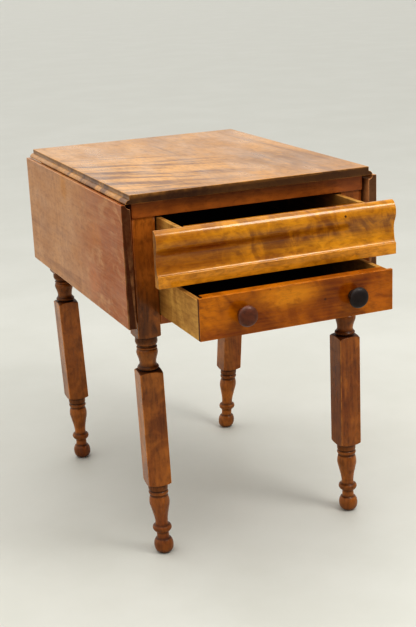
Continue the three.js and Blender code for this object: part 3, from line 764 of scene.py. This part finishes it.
def add_knob(side, material):
    """A turned knob: at each height of the profile a ring about its own axis."""
    low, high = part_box(f"knob_{side}")
    centre_x, centre_z = (low.x + high.x) / 2, (low.z + high.z) / 2
    radius, height = KNOB.T * MM
    angle = np.linspace(0, 2 * np.pi, 72, endpoint=False)
    points = np.stack([
        centre_x + radius[:, None] * np.cos(angle),
        np.broadcast_to(high.y - height[:, None], (len(radius), len(angle))),
        centre_z + radius[:, None] * np.sin(angle),
    ], axis=-1)
    rim = np.exp(-((height / MM - 19) / 3) ** 2)
    # painted shade in the knob's neck groove
    groove = np.exp(-((height / MM - 7) / 4) ** 2)
    shape = (len(radius), len(angle))
    add_piece(f"knob_{side}_turned", points, "lower_drawer", material, Y,
              [f"knob_{side}"], np.broadcast_to(0.6 * rim[:, None], shape),
              np.broadcast_to(groove[:, None], shape))


# ---- putting it together ----------------------------------------------------------------------
def finishes():
    """One finish for each kind of board, by name."""
    low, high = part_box("top_board")
    leaf_low, ogee_low, flat_low = (
        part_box(name)[0] for name in ("leaf_left", "upper_drawer_front", "lower_drawer_front"))
    front_left = (low.x + 0.06, low.y + 0.14, high.z)
    made = {}
    made["top"] = wood(
        "old_varnished_top", Y, srgb(98, 56, 22), srgb(158, 110, 58), srgb(208, 152, 76),
        curl=0.85, curl_scale=36, curl_across=0.13, curl_place=(front_left, (0.3, 0.42, 0.3)),
        cloud=0.7, rings=0.0, seed=3.1, rough=0.33, coat=0.22, open_pores=0.1, end_dark=0.75,
        slant=0.35, shade_and_dark_bands=0.5,
        smudges=[((0.15, -0.03, high.z), (0.14, 0.2, 0.2), srgb(88, 54, 34), 0.6),
                 ((-0.05, -0.15, high.z), (0.13, 0.1, 0.2), srgb(112, 72, 44), 0.3)])
    made["leaf"] = wood(
        "old_varnished_leaf", Y, srgb(130, 78, 44), srgb(186, 134, 88), srgb(206, 156, 108),
        curl=0.3, curl_scale=22, curl_across=0.12, cloud=0.5, rings=0.0, seed=8.4, rough=0.36,
        coat=0.18, gloss=0.22, open_pores=0.06, end_dark=0.8,
        # the first smudge paints the front of the leaf more orange than its paler body: partly the
        # wood's own colour, partly a painted sheen that is stronger towards the back
        smudges=[((leaf_low.x, -0.24, 0.56), (0.3, 0.44, 0.44), srgb(160, 84, 20), 1.0),
                 ((leaf_low.x, 0.14, 0.69), (0.1, 0.03, 0.05), srgb(196, 134, 56), 0.8),
                 ((leaf_low.x, -0.06, 0.63), (0.1, 0.05, 0.05), srgb(204, 134, 60), 0.35),
                 ((leaf_low.x, -0.03, 0.53), (0.1, 0.05, 0.05), srgb(184, 104, 38), 0.7)])
    made["leg"] = wood(
        "turned_leg", Z, srgb(58, 24, 11), srgb(128, 68, 26), srgb(192, 122, 48),
        curl=0.35, curl_scale=24, curl_across=0.6, cloud=1.0, rings=0.12, seed=5.2, rough=0.3,
        coat=0.4, coat_rough=0.12, gloss=0.25, end_dark=0.7, shade_and_dark_bands=0.95, worn=srgb(206, 140, 72),
        # the first smudge is painted shade on the front left post below the rail, beside the
        # hanging leaf
        smudges=[((-0.22, -0.29, 0.49), (0.12, 0.2, 0.11), srgb(48, 20, 10), 0.95),
                 ((0.21, -0.29, 0.3), (0.2, 0.2, 0.26), srgb(96, 40, 10), 0.85),
                 ((0.21, -0.31, 0.19), (0.05, 0.05, 0.07), srgb(196, 122, 36), 0.7),
                 ((-0.2, 0.25, 0.28), (0.16, 0.16, 0.3), srgb(188, 114, 50), 0.75)])
    made["case"] = wood(
        "case_board", X, srgb(92, 46, 18), srgb(152, 86, 34), srgb(190, 118, 50),
        curl=0.3, curl_scale=24, curl_across=0.3, cloud=0.9, rings=0.1, seed=1.7, rough=0.38)
    made["panel"] = wood(
        "case_panel", Y, srgb(80, 42, 20), srgb(118, 66, 32), srgb(146, 88, 46),
        curl=0.2, cloud=0.6, rings=0.15, seed=2.9, rough=0.45, coat=0.15)
    made["ogee"] = wood(
        "figured_ogee", X, srgb(92, 40, 2), srgb(134, 69, 2), srgb(218, 152, 18),
        curl=0.55, curl_scale=34, curl_across=0.5, slant=0.5, cloud=0.8,
        curl_place=((0.09, ogee_low.y, ogee_low.z + 0.078), (0.3, 0.3, 0.12)), rings=0.0, seed=6.6,
        spots=0.9, rough=0.2, coat=0.8, coat_rough=0.09, gloss=0.15, end_dark=0.4,
        # this pale worn colour is partly rubbed wood and partly a painted highlight on the arris
        worn=srgb(222, 158, 66),
        # the first smudge is partly golden figure and partly painted light on the lower hollow,
        # which faces up
        smudges=[((0.13, ogee_low.y, ogee_low.z + 0.036), (0.24, 0.1, 0.02),
                  srgb(224, 160, 36), 0.75),
                 ((0.03, ogee_low.y, ogee_low.z + 0.088), (0.3, 0.1, 0.016),
                  srgb(214, 154, 40), 0.45),
                 ((0, ogee_low.y, ogee_low.z + 0.01), (0.8, 0.1, 0.026),
                  srgb(222, 154, 44), 1.0),
                 # painted shade on the upper hollow, under the swell
                 ((-0.14, ogee_low.y, ogee_low.z + 0.062), (0.2, 0.1, 0.016),
                  srgb(116, 52, 8), 0.8)])
    made["flat"] = wood(
        "figured_flat_front", X, srgb(88, 34, 2), srgb(132, 63, 2), srgb(204, 128, 10),
        curl=0.6, curl_scale=24, curl_across=0.5, slant=0.6, cloud=0.8, rings=0.0, seed=12.3,
        spots=0.8, rough=0.28, coat=0.3, coat_rough=0.14, gloss=0.2, end_dark=0.75,
        worn=srgb(216, 138, 56),
        smudges=[((0.06, flat_low.y, 0.545), (0.04, 0.1, 0.035), srgb(92, 38, 12), 0.7),
                 ((-0.02, flat_low.y, 0.553), (0.09, 0.1, 0.03), srgb(216, 146, 34), 0.8),
                 ((-0.14, flat_low.y, 0.505), (0.1, 0.1, 0.02), srgb(128, 58, 10), 0.6),
                 ((0.165, flat_low.y, 0.53), (0.05, 0.1, 0.05), srgb(196, 116, 22), 0.6)])
    made["inner_wood"] = wood(
        "poplar_side_shaded_inside", Y, srgb(120, 70, 28), srgb(180, 132, 64), srgb(212, 170, 98),
        curl=0.5, curl_scale=20, curl_across=0.3, cloud=0.9, rings=0.15, seed=4.3, rough=0.62,
        coat=0.0, gloss=0.25, end_dark=0.4,
        # this smudge is painted shade: it darkens the drawer sides, runners and guides inside the
        # case
        smudges=[((0, -0.05, 0.6), (1.2, 0.24, 0.4), srgb(70, 38, 18), 0.9)])
    # painted shade: the drawer backs and bottoms get a dark brown that stands in for the shade
    # inside the drawers
    made["inner_across"] = wood(
        "poplar_across_darkened_as_shade", X, srgb(60, 38, 20), srgb(96, 64, 34), srgb(120, 84, 46),
        curl=0.1, cloud=0.6, rings=0.2, seed=7.7, rough=0.7, coat=0.0, gloss=0.2, end_dark=0.4)
    made["knob_left"] = wood(
        "reddish_knob", Y, srgb(40, 18, 10), srgb(76, 36, 22), srgb(118, 64, 38),
        curl=0.5, curl_scale=60, cloud=0.9, rings=0.25, seed=2.2, rough=0.3, coat=0.6,
        coat_rough=0.12, end_dark=0.0)
    made["knob_right"] = wood(
        "blackened_knob", Y, srgb(16, 10, 10), srgb(30, 20, 18), srgb(54, 38, 32),
        curl=0.2, curl_scale=60, cloud=0.7, rings=0.4, seed=9.4, rough=0.38, coat=0.25,
        end_dark=0.0)
    made["iron"] = iron_finish()
    return made


def dress(names, material):
    """Gives carried-over nodes a finish in their own material slots."""
    for name in names:
        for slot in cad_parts[name].material_slots:
            slot.material = material


def build():
    made = finishes()
    add_top_board(made["top"])
    for side in SIDES:
        add_leaf(side, made["leaf"])
        dress([f"side_panel_{side}", f"leaf_bracket_{side}"], made["panel"])
        dress([f"{part}_{side}" for part in (
            "lower_runner", "upper_runner", "lower_guide", "upper_guide", "kicker",
            "bracket_backing")], made["inner_wood"])
        dress([f"bracket_pin_{side}"], made["iron"])
        for end in ENDS:
            add_leg(f"leg_{end}_{side}", made["leg"],
                    math.radians(-5) if (end, side) == ("front", "left") else 0.0)
            dress([f"glue_block_{end}_{side}"], made["inner_wood"])
            dress([f"top_hinge_plate_{end}_{side}", f"leaf_hinge_plate_{end}_{side}",
                   f"hinge_pin_{end}_{side}"], made["iron"])
        for level in ("upper", "lower"):
            add_drawer_side(level, side, made["inner_wood"])
        add_knob(side, made[f"knob_{side}"])
    for board in ("top_rail", "drawer_divider", "bottom_rail", "back_panel"):
        add_board(f"{board}_worn", board, "case", made["case"], X)
    add_ogee_front(made["ogee"])
    add_lower_front(made["flat"])
    for level in ("upper", "lower"):
        add_board(f"{level}_drawer_back_board", f"{level}_drawer_back", f"{level}_drawer",
                  made["inner_across"], X, 0.9 * MM)
        dress([f"{level}_drawer_bottom"], made["inner_across"])


add_camera()
add_studio()
build()
